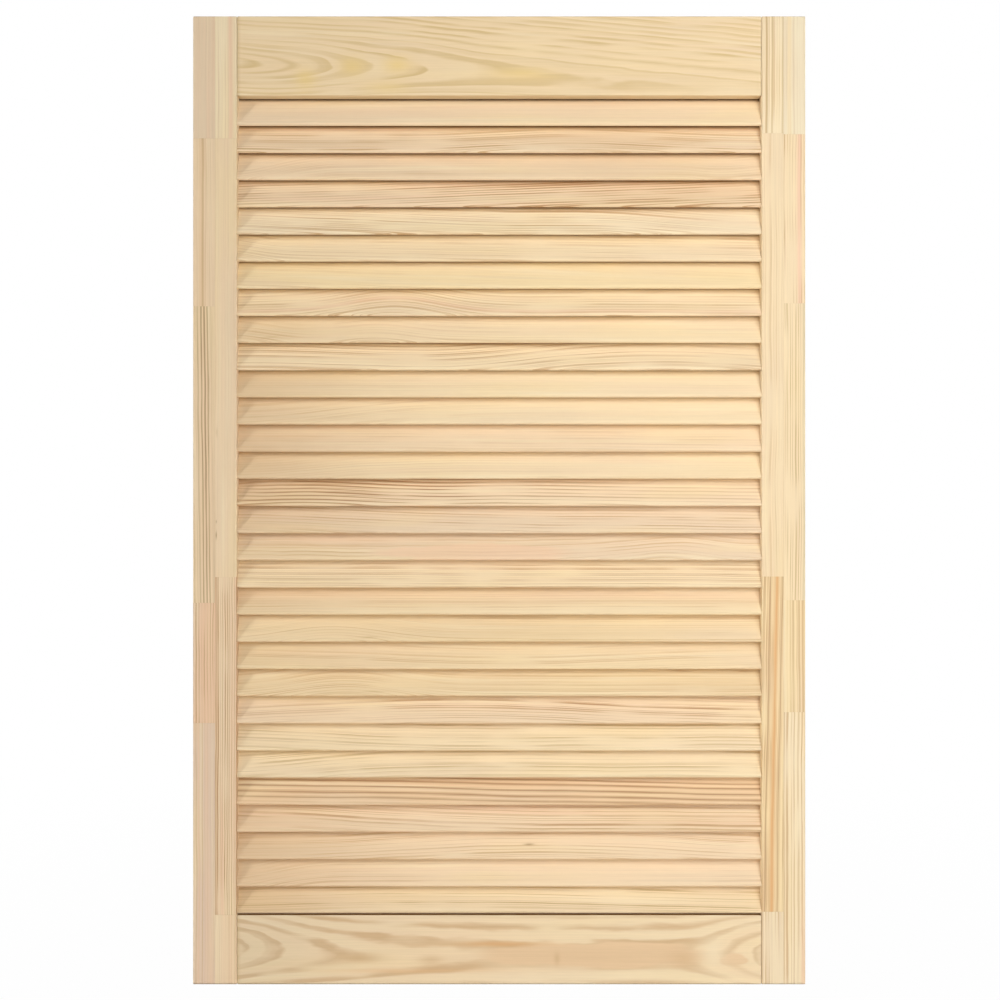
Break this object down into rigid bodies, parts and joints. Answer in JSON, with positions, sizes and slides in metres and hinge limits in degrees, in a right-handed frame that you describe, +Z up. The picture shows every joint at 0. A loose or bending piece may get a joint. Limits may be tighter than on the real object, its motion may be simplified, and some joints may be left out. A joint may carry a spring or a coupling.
{
  "type": "louvred cabinet door",
  "caption": "Flat pine cabinet door leaf with fixed, overlapping, leaning slats housed between two stiles and two rails, to close a cupboard or wardrobe and let it breathe.",
  "frame": {"origin": "middle of the bottom edge, halfway through the thickness", "axes": "+Z up the door's height, front face towards -Y, +X to the right of someone facing the front"},
  "size_m": [0.594, 0.021, 0.939],
  "materials": {
    "rail_pine": "bare, planed and sanded",
    "stave_pine": "bare, planed and sanded",
    "slat_pine": "bare, planed and sanded",
    "dowel_beech": "bare, turned"
  },
  "bodies": {
    "root": {"top_rail": "rail_pine", "bottom_rail": "rail_pine", "left_outer_stave_1": "stave_pine", "left_outer_stave_2": "stave_pine", "left_outer_stave_3": "stave_pine", "left_outer_stave_4": "stave_pine", "left_outer_stave_5": "stave_pine", "left_inner_stave_1": "stave_pine", "left_inner_stave_2": "stave_pine", "left_inner_stave_3": "stave_pine", "left_inner_stave_4": "stave_pine", "right_outer_stave_1": "stave_pine", "right_outer_stave_2": "stave_pine", "right_outer_stave_3": "stave_pine", "right_outer_stave_4": "stave_pine", "right_outer_stave_5": "stave_pine", "right_inner_stave_1": "stave_pine", "right_inner_stave_2": "stave_pine", "right_inner_stave_3": "stave_pine", "right_inner_stave_4": "stave_pine", "slat_01": "slat_pine", "slat_02": "slat_pine", "slat_03": "slat_pine", "slat_04": "slat_pine", "slat_05": "slat_pine", "slat_06": "slat_pine", "slat_07": "slat_pine", "slat_08": "slat_pine", "slat_09": "slat_pine", "slat_10": "slat_pine", "slat_11": "slat_pine", "slat_12": "slat_pine", "slat_13": "slat_pine", "slat_14": "slat_pine", "slat_15": "slat_pine", "slat_16": "slat_pine", "slat_17": "slat_pine", "slat_18": "slat_pine", "slat_19": "slat_pine", "slat_20": "slat_pine", "slat_21": "slat_pine", "slat_22": "slat_pine", "slat_23": "slat_pine", "slat_24": "slat_pine", "slat_25": "slat_pine", "slat_26": "slat_pine", "slat_27": "slat_pine", "slat_28": "slat_pine", "slat_29": "slat_pine", "slat_30": "slat_pine", "top_left_dowel_1": "dowel_beech", "top_left_dowel_2": "dowel_beech", "top_right_dowel_1": "dowel_beech", "top_right_dowel_2": "dowel_beech", "bottom_left_dowel_1": "dowel_beech", "bottom_left_dowel_2": "dowel_beech", "bottom_right_dowel_1": "dowel_beech", "bottom_right_dowel_2": "dowel_beech"}
  },
  "joints": []
}
